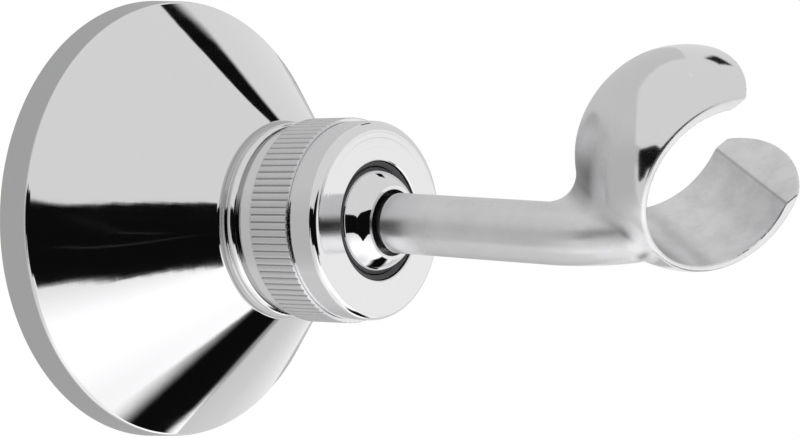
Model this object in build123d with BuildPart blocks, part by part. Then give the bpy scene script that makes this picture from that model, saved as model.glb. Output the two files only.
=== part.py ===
from build123d import *
from math import cos, radians, sin, sqrt
import os

# A hand shower holder for a wall: a conical rosette, a ball that a knurled nut clamps in the rosette's neck,
# and an arm on the ball that ends in a slotted cradle. Millimetres. The origin is the middle of the wall face,
# the wall lies in the XZ plane, +Z is up and the rosette's axis leaves the wall along -Y.

# Rosette, with heights counted from the wall along its axis
rosette_radius = 35.0
rim_height = 5.6
rim_draft = 0.35
rim_edge = 0.4
shell_wall = 2.4
collar_height = 26.7
collar_step = 2.4
collar_land = 0.55
collar_fillet = 0.8
collar_groove = 0.35
bead_step = 2.2
bead_length = 1.75
bead_crown = 0.45
neck_land_step = 1.3
neck_land_length = 0.65
neck_wall = 2.1
neck_drop = 2.0
floor_thickness = 4.0
screw_hole_radius = 2.75
screw_head_radius = 4.8
screw_head_angle = 90.0
screw_head_gap = 0.8

# Ball, its cup and the cushion behind the cup
ball_radius = 8.7
ball_inset = 4.1
ball_flat_land = 0.6
ball_mouth_gap = 0.45
ball_mouth_depth = 3.3
ball_bore_radius = 3.0
ball_bore_end = 3.8
seat_clearance = 0.12
turning_clearance = 0.06
face_clearance = 0.04
cup_wall = 1.88
cup_floor = 1.6
cup_drop = 2.6
cup_hole_radius = 3.0
cushion_thickness = 2.4
cushion_side_gap = 0.4

# Clamp nut
nut_gap = 0.3
nut_wall = 2.65
nut_tail_wall = 1.8
nut_tail_length = 2.9
nut_tail_edge = 0.35
knurl_lead = 0.43
knurl_length = 7.2
knurl_count = 88
knurl_depth = 0.2
nut_groove_width = 0.2
nut_groove_depth = 0.15
nut_band_step = 0.55
nut_band_length = 5.1
nut_edge = 1.3
nut_front_wall = 2.0
opening_margin = 0.22
opening_edge = 0.15
thread_clearance = 0.1

# Bearing ring in the nut
ring_recess = 0.3
ring_nose_gap = 0.1
ring_tail = 1.0

# Arm, counted from the ball's centre along its axis
arm_radius = 4.5
arm_droop = 2.5
arm_roll = 37.0
arm_tip_step = 0.55
arm_tip_lead = 0.2
arm_chamfer = 0.8
bend_run = 17.7
bend_radius = 60.0
bend_angle = 12.5
root_fillet = 4.0

# Cradle, whose front rim meets the arm this far along its axis and this far below it
cradle_reach = 53.7
cradle_drop = 0.6
cradle_tilt = 31.0
cradle_width = 18.7
cradle_bore_radius = 12.0
crest_wall = 3.85
rim_wall = 1.2
crown_shift = 0.55
facing_allowance = 4.5
slot_width = 19.7
jaw_edge = 0.25

# Radii that follow from the ball outwards
seat_radius = ball_radius + seat_clearance
opening_radius = seat_radius + opening_margin
neck_bore_radius = seat_radius + cup_wall
neck_radius = neck_bore_radius + neck_wall
collar_radius = neck_radius + collar_step
bead_radius = neck_radius + bead_step
neck_land_radius = neck_radius + neck_land_step
nut_bore_radius = neck_radius + thread_clearance
nut_radius = nut_bore_radius + nut_wall
nut_tail_radius = nut_bore_radius + nut_tail_wall
nut_band_radius = nut_radius - nut_band_step
cushion_hole_radius = screw_head_radius + screw_head_gap

# Heights that follow from the collar outwards, and then from the ball back to the neck's floor
bead_start = collar_height + collar_land + collar_groove
collar_end = bead_start + bead_length
neck_land_end = collar_end + neck_land_length
nut_start = neck_land_end + nut_gap
knurl_start = nut_start + nut_tail_length
knurl_end = knurl_start + knurl_length
nut_face = knurl_end + nut_band_length
ball_height = nut_face - ball_inset
neck_end = ball_height - neck_drop
cup_start = ball_height - seat_radius - cup_floor
cup_end = ball_height - cup_drop
floor_top = cup_start - cushion_thickness
floor_bottom = floor_top - floor_thickness
ring_face = nut_face - ring_recess
ring_shoulder = nut_face - nut_front_wall - face_clearance
ring_start = neck_end + ring_tail

# The rosette's shell, a wall's thickness inside its outline
cone_foot_radius = rosette_radius - rim_draft
cone_slope = (cone_foot_radius - collar_radius) / (collar_height - rim_height)
cone_wall = shell_wall * sqrt(1 + cone_slope**2)
shell_radius = rosette_radius - shell_wall
shell_corner_height = rim_height + (cone_foot_radius - cone_wall - shell_radius) / cone_slope
shell_top_radius = cone_foot_radius - cone_wall - cone_slope * (floor_bottom - rim_height)

# The ball's hole and the arm's end in it, from the ball's centre
ball_mouth_radius = arm_radius + ball_mouth_gap
ball_flat_radius = ball_mouth_radius + ball_flat_land
ball_flat = sqrt(ball_radius**2 - ball_flat_radius**2)
ball_mouth_floor = ball_flat - ball_mouth_depth
spigot_radius = ball_bore_radius - turning_clearance
arm_shoulder = ball_mouth_floor + face_clearance
arm_tip_radius = arm_radius - arm_tip_step
arm_tip_end = ball_flat + arm_tip_lead

# The cradle's crown, and how far it runs past the front rim before it is faced
bend_start = cradle_reach - bend_run
cradle_half = cradle_width / 2
rim_radius = cradle_bore_radius + rim_wall
crest_radius = cradle_bore_radius + crest_wall
crown_height = crest_wall - rim_wall
crown_radius = (cradle_half**2 + crown_height**2) / (2 * crown_height)
overrun = cradle_half + facing_allowance
overrun_radius = crest_radius - crown_radius + sqrt(crown_radius**2 - overrun**2)

# Planes: the rosette's half section as radius and height, the arm's plane of symmetry, and the cradle's section
wall_axis = Axis((0, 0, 0), (0, -1, 0))
section = Plane(origin=(0, 0, 0), x_dir=(1, 0, 0), z_dir=(0, 0, -1))
ball_centre = Vector(0, -ball_height, 0)
arm_direction = Vector(0, -cos(radians(arm_droop)), -sin(radians(arm_droop)))
arm_above = Vector(0, -sin(radians(arm_droop)), cos(radians(arm_droop)))
arm_side = Vector(1, 0, 0)
arm_up = arm_above * cos(radians(arm_roll)) + arm_side * sin(radians(arm_roll))
arm_plane = Plane(origin=ball_centre, x_dir=arm_direction, z_dir=arm_direction.cross(arm_up))
arm_axis = Axis(ball_centre, arm_direction)
bend_centre = ball_centre + arm_direction * bend_start + arm_up * bend_radius
bend_spoke = arm_direction * sin(radians(bend_angle)) - arm_up * cos(radians(bend_angle))
bore_direction = arm_direction * cos(radians(cradle_tilt)) - arm_up * sin(radians(cradle_tilt))
slot_direction = arm_direction * sin(radians(cradle_tilt)) + arm_up * cos(radians(cradle_tilt))
front_rim_back = ball_centre + arm_direction * cradle_reach - arm_up * cradle_drop
cradle_centre = front_rim_back + slot_direction * cradle_bore_radius - bore_direction * cradle_half
crown_centre = cradle_centre + slot_direction * crown_shift
crown_section = Plane(origin=crown_centre, x_dir=slot_direction, z_dir=slot_direction.cross(bore_direction))
cradle_face = Plane(origin=cradle_centre, x_dir=slot_direction, z_dir=bore_direction)
crown_axis = Axis(crown_centre, bore_direction)


def sphere_radius(radius, height):
    """Radius of the circle that a sphere about the ball's centre has at a height from the wall."""
    return sqrt(radius**2 - (height - ball_height) ** 2)


# Wall rosette: thin conical shell with a rim, a collar, a threaded neck and a floor for the wall screw
with BuildPart() as wall_rosette:
    with BuildSketch(section) as rosette_profile:
        with BuildLine():
            rim = Polyline(
                (shell_radius, 0),
                (rosette_radius, 0),
                (cone_foot_radius, rim_height),
                (collar_radius, collar_height),
                (collar_radius, collar_height + collar_land),
                (collar_radius - collar_groove, bead_start - collar_groove / 2),
                (bead_radius - bead_crown, bead_start),
            )
            bead = ThreePointArc(
                rim @ 1,
                (bead_radius, bead_start + bead_length / 2),
                (bead_radius - bead_crown, collar_end),
            )
            Polyline(
                bead @ 1,
                (neck_land_radius, collar_end),
                (neck_land_radius, neck_land_end),
                (neck_radius, neck_land_end),
                (neck_radius, neck_end),
                (neck_bore_radius, neck_end),
                (neck_bore_radius, floor_top),
                (0, floor_top),
                (0, floor_bottom),
                (shell_top_radius, floor_bottom),
                (shell_radius, shell_corner_height),
                (shell_radius, 0),
            )
        make_face()
        fillet(rosette_profile.vertices().sort_by_distance((collar_radius, collar_height))[0], collar_fillet)
        fillet(rosette_profile.vertices().sort_by_distance((cone_foot_radius, rim_height))[0], rim_edge)
    revolve(axis=wall_axis)
    with Locations(Plane(origin=(0, -floor_top, 0), z_dir=(0, -1, 0))):
        CounterSinkHole(screw_hole_radius, screw_head_radius, 2 * floor_thickness, screw_head_angle)
wall_rosette.part.label = "wall_rosette"

# Cushion ring: rubber between the neck's floor and the cup
with BuildPart() as cushion_ring:
    with BuildSketch(Plane(origin=(0, -floor_top, 0), z_dir=(0, -1, 0))):
        Circle(neck_bore_radius - cushion_side_gap)
        Circle(cushion_hole_radius, mode=Mode.SUBTRACT)
    extrude(amount=cushion_thickness - face_clearance)
cushion_ring.part.label = "cushion_ring"

# Seat cup: nylon cup in the neck, with a spherical seat behind the ball
with BuildPart() as seat_cup:
    with BuildSketch(section):
        with BuildLine():
            seat_mouth = (sphere_radius(seat_radius, cup_end), cup_end)
            seat_middle_height = ball_height - seat_radius * cos(radians(45))
            seat_hole_height = ball_height - sqrt(seat_radius**2 - cup_hole_radius**2)
            Polyline(
                (cup_hole_radius, seat_hole_height),
                (cup_hole_radius, cup_start),
                (neck_bore_radius - turning_clearance, cup_start),
                (neck_bore_radius - turning_clearance, cup_end),
                seat_mouth,
            )
            ThreePointArc(
                seat_mouth,
                (sphere_radius(seat_radius, seat_middle_height), seat_middle_height),
                (cup_hole_radius, seat_hole_height),
            )
        make_face()
    revolve(axis=wall_axis)
seat_cup.part.label = "seat_cup"

# Bearing ring: plastic ring behind the nut's front wall, whose nose fills the gap round the ball
with BuildPart() as bearing_ring:
    with BuildSketch(section):
        with BuildLine():
            ring_mouth = (sphere_radius(seat_radius, ring_face), ring_face)
            ring_middle_height = (ball_height + ring_face) / 2
            Polyline(
                (seat_radius, ball_height),
                (seat_radius, ring_start),
                (nut_bore_radius - turning_clearance, ring_start),
                (nut_bore_radius - turning_clearance, ring_shoulder),
                (opening_radius - ring_nose_gap, ring_shoulder),
                (opening_radius - ring_nose_gap, ring_face),
                ring_mouth,
            )
            ThreePointArc(
                ring_mouth,
                (sphere_radius(seat_radius, ring_middle_height), ring_middle_height),
                (seat_radius, ball_height),
            )
        make_face()
    revolve(axis=wall_axis)
bearing_ring.part.label = "bearing_ring"

# Clamp nut: turned sleeve with a plain tail, a straight knurl, a groove, a smooth band and a flat front
with BuildPart() as clamp_nut:
    with BuildSketch(section) as nut_profile:
        with BuildLine():
            Polyline(
                (nut_bore_radius, nut_start),
                (nut_tail_radius, nut_start),
                (nut_tail_radius, knurl_start - knurl_lead),
                (nut_radius, knurl_start),
                (nut_radius, knurl_end),
                (nut_band_radius - nut_groove_depth, knurl_end),
                (nut_band_radius - nut_groove_depth, knurl_end + nut_groove_width),
                (nut_band_radius, knurl_end + nut_groove_width),
                (nut_band_radius, nut_face),
                (opening_radius + opening_edge, nut_face),
                (opening_radius, nut_face - opening_edge),
                (opening_radius, nut_face - nut_front_wall),
                (nut_bore_radius, nut_face - nut_front_wall),
                close=True,
            )
        make_face()
        fillet(nut_profile.vertices().sort_by_distance((nut_band_radius, nut_face))[0], nut_edge)
        fillet(nut_profile.vertices().sort_by_distance((nut_tail_radius, nut_start))[0], nut_tail_edge)
    revolve(axis=wall_axis)
    with BuildSketch(Plane(origin=(0, -knurl_start, 0), z_dir=(0, -1, 0))):
        with PolarLocations(nut_radius, knurl_count):
            RegularPolygon(knurl_depth, 4)
    extrude(amount=knurl_end - knurl_start, both=True, mode=Mode.SUBTRACT)
clamp_nut.part.label = "clamp_nut"

# Swivel ball: ball with a flat and a stepped hole for the arm
with BuildPart() as swivel_ball:
    with BuildSketch(arm_plane):
        with BuildLine():
            ball_outside = ThreePointArc((-ball_radius, 0), (0, ball_radius), (ball_flat, ball_flat_radius))
            Polyline(
                ball_outside @ 1,
                (ball_flat, ball_mouth_radius),
                (ball_mouth_floor, ball_mouth_radius),
                (ball_mouth_floor, ball_bore_radius),
                (-ball_bore_end, ball_bore_radius),
                (-ball_bore_end, 0),
                (-ball_radius, 0),
            )
        make_face()
    revolve(axis=arm_axis)
swivel_ball.part.label = "swivel_ball"

# Holder arm: spigot, round arm that bends up into the cradle, and the bored and slotted cradle, one casting
with BuildPart() as holder_arm:
    with BuildSketch(arm_plane):
        with BuildLine():
            Polyline(
                (-ball_bore_end + face_clearance, 0),
                (-ball_bore_end + face_clearance, spigot_radius),
                (arm_shoulder, spigot_radius),
                (arm_shoulder, arm_tip_radius),
                (arm_tip_end, arm_tip_radius),
                (arm_tip_end + arm_chamfer, arm_radius),
                (bend_start, arm_radius),
                (bend_start, 0),
                close=True,
            )
        make_face()
    revolve(axis=arm_axis)
    with BuildSketch(Plane(origin=ball_centre + arm_direction * bend_start, z_dir=arm_direction)):
        Circle(arm_radius)
    revolve(axis=Axis(bend_centre, arm_plane.z_dir), revolution_arc=bend_angle)
    with Locations(bend_centre + bend_spoke * bend_radius):
        Sphere(arm_radius)
    with BuildSketch(crown_section):
        with BuildLine():
            crown = ThreePointArc((rim_radius, -cradle_half), (crest_radius, 0), (overrun_radius, overrun))
            Polyline(crown @ 1, (0, overrun), (0, -cradle_half), crown @ 0)
        make_face()
    revolve(axis=crown_axis)
    fillet(holder_arm.edges(Select.NEW).sort_by(SortBy.LENGTH)[-1], root_fillet)
    with BuildSketch(cradle_face.offset(cradle_half)):
        Circle(2 * crest_radius)
    extrude(amount=crest_radius, mode=Mode.SUBTRACT)
    with BuildSketch(cradle_face):
        Circle(cradle_bore_radius)
        with Locations((crest_radius, 0)):
            Rectangle(2 * crest_radius, slot_width)
    extrude(amount=cradle_width, both=True, mode=Mode.SUBTRACT)
    jaw_faces = holder_arm.faces().filter_by(Plane(cradle_centre, z_dir=arm_plane.z_dir))
    fillet(jaw_faces.edges().filter_by(GeomType.LINE, reverse=True), jaw_edge)
holder_arm.part.label = "holder_arm"

os.makedirs("parts", exist_ok=True)
for piece in (wall_rosette, cushion_ring, seat_cup, bearing_ring, clamp_nut, swivel_ball, holder_arm):
    export_step(piece.part, f"parts/{piece.part.label}.step")
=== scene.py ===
"""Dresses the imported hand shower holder: turned pieces, a smooth cast arm, chrome and a plain studio."""

import math

import bmesh
import bpy
import numpy as np
from mathutils import Matrix, Vector


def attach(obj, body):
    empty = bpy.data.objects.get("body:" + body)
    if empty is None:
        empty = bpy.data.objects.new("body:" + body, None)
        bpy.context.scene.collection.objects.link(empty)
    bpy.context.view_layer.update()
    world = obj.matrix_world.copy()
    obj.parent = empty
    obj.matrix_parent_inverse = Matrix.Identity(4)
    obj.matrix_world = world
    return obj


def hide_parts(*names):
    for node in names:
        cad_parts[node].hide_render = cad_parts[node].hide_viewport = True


MM = 0.001

# Sizes in millimetres, as in the part's source, but for the rim's edge, which polishing has rounded further,
# and for the bearing ring's mouth, which is countersunk here.
# Heights are counted from the wall along the rosette's axis.
ROSETTE_RADIUS = 35.0
RIM_HEIGHT = 5.6
RIM_DRAFT = 0.35
RIM_EDGE = 1.3
SHELL_WALL = 2.4
COLLAR_RADIUS = 15.2
COLLAR_HEIGHT = 26.7
COLLAR_LAND = 0.55
COLLAR_FILLET = 0.8
COLLAR_GROOVE = 0.35
BEAD_RADIUS = 15.0
BEAD_LENGTH = 1.75
BEAD_CROWN = 0.45
NECK_LAND_RADIUS = 14.1
NECK_LAND_LENGTH = 0.65
NECK_RADIUS = 12.8
NECK_BORE = 10.7
NECK_END = 39.4
FLOOR_TOP = 28.58
FLOOR_BOTTOM = 24.58
SCREW_HOLE = 2.75
SCREW_HEAD = 4.8

BALL_RADIUS = 8.7
BALL_HEIGHT = 41.4
BALL_FLAT_RADIUS = 5.55
BALL_MOUTH = 4.95
BALL_MOUTH_DEPTH = 3.3
BALL_BORE = 3.0
BALL_BORE_END = 3.8
SEAT_RADIUS = 8.82

NUT_START = 30.3
NUT_FACE = 45.5
NUT_BORE = 12.9
NUT_RADIUS = 15.55
NUT_TAIL_RADIUS = 14.7
NUT_TAIL_EDGE = 0.35
NUT_BAND_RADIUS = 15.0
NUT_EDGE = 1.3
NUT_FRONT_WALL = 2.0
NUT_OPENING = 9.04
NUT_OPENING_EDGE = 0.15
NUT_GROOVE_WIDTH = 0.2
NUT_GROOVE_DEPTH = 0.15
KNURL_START = 33.2
KNURL_END = 40.4
KNURL_LEAD = 0.43
KNURL_COUNT = 88
KNURL_DEPTH = 0.2
# Points across half a groove of the knurl, as shares of its half width; it is flat up to the second one
KNURL_SHARES = (0.0, 0.12, 0.6, 0.92, 1.1)

RING_OUTSIDE = 12.84
RING_NOSE = 8.94
RING_START = 40.4
RING_SHOULDER = 43.46
RING_FACE = 45.2
RING_MOUTH = 44.6

ARM_RADIUS = 4.5
ARM_DROOP = 2.5
ARM_ROLL = 37.0
ARM_TIP_RADIUS = 3.95
ARM_TIP_LEAD = 0.2
ARM_CHAMFER = 0.8
ARM_CLEARANCE = 0.04
SPIGOT_RADIUS = 2.94
BEND_START = 36.0
BEND_RADIUS = 60.0
BEND_ANGLE = 12.5
ROOT_FILLET = 4.0
CRADLE_REACH = 53.7
CRADLE_DROP = 0.6
CRADLE_TILT = 31.0
CRADLE_WIDTH = 18.7
CRADLE_BORE = 12.0
CREST_WALL = 3.85
RIM_WALL = 1.2
CROWN_SHIFT = 0.55
SLOT_WIDTH = 19.7
CRADLE_EDGE = 0.25

# How finely the pieces are drawn: points round them, steps of arcs, support points beside edges
AROUND = 256
BALL_AROUND = 192
BALL_STEPS = 96
BEAD_STEPS = 14
SEAT_STEPS = 10
ARC_STEP = math.radians(9)
SUPPORT = 0.05
SHARP_ANGLE = math.radians(32)
WELD_DISTANCE = 1e-8

# How the arm's skin is found: its grid, where it starts along the arm, and the search for the root's fillet
SKIN_CELL = 0.22
SKIN_MARGIN = 0.8
SKIN_START = 33.0
SKIN_ROUNDS = 3
SLOPE_STEP = 0.01
LEAST_SLOPE = 0.25
CUT_TOLERANCE = 0.001
FILLET_ROUNDS = 6
FILLET_DEPTH = 1.5
FILLET_MARGIN = 0.5
FILLET_TOLERANCE = 0.05
LEAST_SPREAD = 0.02
TINY = 1e-9

# Camera, fitted to the photo
IMAGE_WIDTH = 800
FOCAL_PIXELS = 2524.5
SENSOR = 36.0
CAMERA_AZIMUTH = -50.908
CAMERA_ELEVATION = -2.019
CAMERA_ROLL = 2.190
CAMERA_PLACE = (-291.69, -286.30, -12.98)

# Colours: polished plate, the casting, painted shade in the knurl's grooves, dull plate in the cradle's bore,
# painted shade, deeper painted shade for the ball's hole, and the mouldings
PLATE = (0.80, 0.80, 0.81)
CASTING = (0.78, 0.78, 0.79)
KNURL_SHADE = (0.40, 0.40, 0.41)
BORE = (0.82, 0.82, 0.83)
PAINTED_SHADE = (0.22, 0.22, 0.22)
DEEP_PAINTED_SHADE = (0.04, 0.04, 0.04)
DARK_PLASTIC = (0.06, 0.06, 0.064)
NYLON = (0.82, 0.81, 0.78)
RUBBER = (0.03, 0.03, 0.03)

# Roughness of the polish, from least to most, and what full dullness adds to it
PLATE_POLISH = (0.03, 0.06)
NUT_POLISH = (0.04, 0.08)
CASTING_POLISH = (0.07, 0.11)
DULL_ROUGHNESS = 0.36
POLISH_SCALE = 260.0
POLISH_SPREAD = (0.3, 0.7)

# Relief: depths in metres and noise scales; a turning has a fine depth, and a coarse scale and depth
PLATE_WAVE = 0.000015
NUT_WAVE = 0.000012
BALL_WAVE = 0.00001
CASTING_WAVE = 0.00003
WAVE_SCALE = 140.0
PLATE_TURNING = (0.0000008, 4000.0, 0.00003)
NUT_TURNING = (0.0000025, 2500.0, 0.00003)
FINE_TURNING_SCALE = 5000.0
CAST_GRAIN_DEPTH = 0.000025
CAST_GRAIN_SCALE = 1500.0
MOULD_GRAIN_DEPTH = 0.00002
MOULD_GRAIN_SCALE = 5000.0
MOULD_GRAIN_STRENGTH = 0.4
STAIN_SCALE = 240.0
STAIN_SHADE = 0.86
STAIN_SPREAD = (0.32, 0.6)

# Dullness from 0 to 1, and the lengths in mm where it starts to fade and over which it does
# On the nut, dullness also paints shade: it blends the colour towards the dark painted shade of the knurl's
# grooves
KNURL_SATIN = 0.25
BALL_FLAT_SATIN = 0.4
ARM_SATIN = 0.32
ARM_SATIN_RUN = 8.0
ROOT_DULLNESS = 0.85
ROOT_RUN = 6.0
ROOT_FROM_CROWN = 1.0
ROOT_BEHIND = (1.0, 4.0)
ROOT_FROM_ARM = (9.0, 5.0)
ROOT_FLANK = 2.5
CRADLE_RIM_SATIN = 0.6
CRADLE_RIM_WIDTH = 0.4
CRADLE_RIM_RUN = 0.3
CUT_MARGIN = 0.1
CUT_RIM = 0.15
SLOT_START = 1.0

# Painted shade from 0 to 1, and where it lies; the bore's painted shade streak and its darker side are in
# degrees round the bore
HOLE_SHADE = 0.95
HOLE_SHADE_BELOW = 0.5
COLLAR_SHADE = 0.55
NECK_SHADE = 0.4
ROOT_SHADE = 0.8
ROOT_SHADE_BEHIND = (-1.5, 3.0)
ROOT_SHADE_FROM_ARM = 4.0
ROOT_SHADE_RUN = 3.0
CREASE_SHADE = 0.75
CREASE_RUN = 0.28
STREAK_SHADE = 0.2
STREAK_MIDDLE = -126.0
STREAK_WIDTH = 12.0
SIDE_SHADE = 0.45
SHADE_START = -134.0
SHADE_RUN = 26.0

# Studio, in metres and degrees; a glow is a list of (elevation, brightness)
FLOOR_HEIGHT = -0.15
FLOOR_SIZE = 2.4
FLOOR_PAINT = (0.8, 0.8, 0.8, 1.0)
FLOOR_LIFT = 0.45
WORLD_LIGHT = 0.7
LAMP_PLACE = (-0.5, -0.7, 0.9)
LAMP_SIZE = 0.6
LAMP_POWER = 8.0
CARD_CENTRE = Vector((0.0, -0.05, 0.0))
CARD_COLUMNS = 160
CARD_ROWS = 40
BLACK = [(0, 0.004)]
GLINT = [(0, 0.03)]
GLINT_HALF = 0.5
GLINT_DISTANCE = 0.78
RIM_CARD_PLACE = 0.008
RIM_CARD_RADII = (0.0355, 0.052)
RIM_CARD_GLOW = 0.43


def ease(values):
    """0 to 1 with soft ends."""
    values = np.clip(values, 0, 1)
    return values * values * (3 - 2 * values)


def fade(values, start, run):
    """1 up to the start and 0 after the run, with soft ends."""
    return 1 - ease((values - start) / run)


def cradle_frame():
    """The cradle's middle in mm and its three directions, and the ball's centre and the arm's directions.

    The cradle's directions go along the bore, towards the slot and across. The arm's go along it and up.
    """
    droop = math.radians(ARM_DROOP)
    roll = math.radians(ARM_ROLL)
    tilt = math.radians(CRADLE_TILT)
    along = np.array([0.0, -math.cos(droop), -math.sin(droop)])
    above = np.array([0.0, -math.sin(droop), math.cos(droop)])
    up = above * math.cos(roll) + np.array([1.0, 0.0, 0.0]) * math.sin(roll)
    bore = along * math.cos(tilt) - up * math.sin(tilt)
    slot = along * math.sin(tilt) + up * math.cos(tilt)
    ball = np.array([0.0, -BALL_HEIGHT, 0.0])
    rim_back = ball + along * CRADLE_REACH - up * CRADLE_DROP
    middle = rim_back + slot * CRADLE_BORE - bore * CRADLE_WIDTH / 2
    return middle, bore, slot, np.cross(bore, slot), ball, along, up


CRADLE, BORE_WAY, SLOT_WAY, CROSS_WAY, BALL_CENTRE, ARM_WAY, ARM_UP = cradle_frame()


def corner_arc(before, corner, after, edge):
    """The points of a corner rounded with the radius edge, with a support point on either side."""
    corner = np.array(corner, float)
    back = np.array(before, float) - corner
    ahead = np.array(after, float) - corner
    back_length = np.linalg.norm(back)
    ahead_length = np.linalg.norm(ahead)
    back /= back_length
    ahead /= ahead_length
    half = math.acos(max(-1.0, min(1.0, float(back @ ahead)))) / 2
    cut = edge / math.tan(half)
    turn = math.pi - 2 * half
    middle = corner + (back + ahead) / np.linalg.norm(back + ahead) * edge / math.sin(half)
    start = corner + back * cut - middle
    side = corner + ahead * cut - middle
    side -= start * float(side @ start) / edge**2
    side *= edge / np.linalg.norm(side)
    steps = max(3, math.ceil(turn / ARC_STEP))
    points = []
    if cut + 2 * SUPPORT < back_length / 2:
        points.append(corner + back * (cut + SUPPORT))
    for i in range(steps + 1):
        angle = turn * i / steps
        points.append(middle + start * math.cos(angle) + side * math.sin(angle))
    if cut + 2 * SUPPORT < ahead_length / 2:
        points.append(corner + ahead * (cut + SUPPORT))
    return points


def soft_section(corners, closed=True):
    """A section of (radius, height, edge) corners with each edge rounded; an edge of 0 stays sharp."""
    points = []
    count = len(corners)
    for i, (radius, height, edge) in enumerate(corners):
        is_end = not closed and i in (0, count - 1)
        if edge == 0 or is_end:
            points.append(np.array([radius, height], float))
            continue
        before = corners[i - 1][:2]
        after = corners[(i + 1) % count][:2]
        points.extend(corner_arc(before, (radius, height), after, edge))
    return np.array(points)


def arc_through(start, middle, end, steps):
    """Corners with sharp edges along the circular arc through three points."""
    a = np.array(start, float)
    b = np.array(middle, float)
    c = np.array(end, float)
    system = np.array([b - a, c - a]) * 2
    values = np.array([b @ b - a @ a, c @ c - a @ a])
    centre = np.linalg.solve(system, values)
    first = math.atan2(*(a - centre)[::-1])
    last = math.atan2(*(c - centre)[::-1])
    passing = math.atan2(*(b - centre)[::-1])
    sweep = (last - first) % (2 * math.pi)
    if (passing - first) % (2 * math.pi) > sweep:
        sweep -= 2 * math.pi
    radius = np.linalg.norm(a - centre)
    angles = [first + sweep * i / steps for i in range(steps + 1)]
    return [(centre[0] + radius * math.cos(t), centre[1] + radius * math.sin(t), 0) for t in angles]


def smooth_object(name, mesh):
    """An object with a smooth-shaded mesh, put into the scene."""
    mesh.shade_smooth()
    mesh.set_sharp_from_angle(angle=SHARP_ANGLE)
    thing = bpy.data.objects.new(name, mesh)
    bpy.context.scene.collection.objects.link(thing)
    return thing


def mesh_object(name, points, faces):
    """A smooth-shaded mesh object from points in mm."""
    mesh = bpy.data.meshes.new(name)
    mesh.from_pydata((np.asarray(points) * MM).tolist(), [], faces)
    mesh.validate()
    return smooth_object(name, mesh)


def mark(thing, name, values):
    """Marks an object's points with values, such as how dull or coarsely turned it is there, or how much
    shade is painted there.
    """
    thing.data.attributes.new(name, "FLOAT", "POINT").data.foreach_set("value", values)


def grid_faces(rings, length, closed):
    """Quads over rings of length points each; the rings go round, and so do their points if closed."""
    faces = []
    last = length if closed else length - 1
    for i in range(rings):
        j = (i + 1) % rings
        for k in range(last):
            m = (k + 1) % length
            faces.append((i * length + k, i * length + m, j * length + m, j * length + k))
    return faces


def wall_lathe(name, section, angles, limit=None):
    """Turns a closed section about the rosette's axis; limit gives the largest radius at each angle."""
    radius = np.repeat(section[None, :, 0], len(angles), 0)
    if limit is not None:
        radius = np.minimum(radius, limit[:, None])
    height = np.repeat(section[None, :, 1], len(angles), 0)
    x = radius * np.cos(angles)[:, None]
    z = radius * np.sin(angles)[:, None]
    points = np.stack([x, -height, z], -1).reshape(-1, 3)
    return mesh_object(name, points, grid_faces(len(angles), len(section), True))


def even_angles(count):
    """Angles that share out a full turn."""
    return np.arange(count) * 2 * math.pi / count


def make_rosette():
    """The rosette: rim, thin cone, rounded collar, bead, neck, and a floor with its countersunk hole."""
    foot = ROSETTE_RADIUS - RIM_DRAFT
    slope = (foot - COLLAR_RADIUS) / (COLLAR_HEIGHT - RIM_HEIGHT)
    cone_wall = SHELL_WALL * math.sqrt(1 + slope**2)
    inside = ROSETTE_RADIUS - SHELL_WALL
    inside_corner = RIM_HEIGHT + (foot - cone_wall - inside) / slope
    inside_top = foot - cone_wall - slope * (FLOOR_BOTTOM - RIM_HEIGHT)
    bead_start = COLLAR_HEIGHT + COLLAR_LAND + COLLAR_GROOVE
    bead_end = bead_start + BEAD_LENGTH
    bead_foot = BEAD_RADIUS - BEAD_CROWN
    bead_top = (BEAD_RADIUS, bead_start + BEAD_LENGTH / 2)
    bead = arc_through((bead_foot, bead_start), bead_top, (bead_foot, bead_end), BEAD_STEPS)
    corners = [
        (inside, 0.0, 0.2),
        (ROSETTE_RADIUS, 0.0, 0.25),
        (foot, RIM_HEIGHT, RIM_EDGE),
        (COLLAR_RADIUS, COLLAR_HEIGHT, COLLAR_FILLET),
        (COLLAR_RADIUS, COLLAR_HEIGHT + COLLAR_LAND, 0.08),
        (COLLAR_RADIUS - COLLAR_GROOVE, bead_start - COLLAR_GROOVE / 2, 0.04),
        *bead,
        (NECK_LAND_RADIUS, bead_end, 0),
        (NECK_LAND_RADIUS, bead_end + NECK_LAND_LENGTH, 0.1),
        (NECK_RADIUS, bead_end + NECK_LAND_LENGTH, 0),
        (NECK_RADIUS, NECK_END, 0.3),
        (NECK_BORE, NECK_END, 0.2),
        (NECK_BORE, FLOOR_TOP, 0.1),
        (SCREW_HEAD, FLOOR_TOP, 0.1),
        (SCREW_HOLE, FLOOR_TOP - (SCREW_HEAD - SCREW_HOLE), 0.05),
        (SCREW_HOLE, FLOOR_BOTTOM, 0.15),
        (inside_top, FLOOR_BOTTOM, 0.5),
        (inside, inside_corner, 0.5),
    ]
    section = soft_section(corners)[::-1]
    rosette = wall_lathe("rosette_turning", section, even_angles(AROUND))
    radius, height = section.T
    on_collar = (height > COLLAR_HEIGHT - SUPPORT) & (radius > NECK_RADIUS)
    before_bead = on_collar & (height < bead_start - SUPPORT)
    after_bead = on_collar & (height > bead_end - SUPPORT)
    mark(rosette, "lathe", np.tile(1.0 * on_collar, AROUND))
    # Painted shade on the collar before the bead and on the neck after it
    mark(rosette, "painted_shade", np.tile(COLLAR_SHADE * before_bead + NECK_SHADE * after_bead, AROUND))
    return rosette


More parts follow.
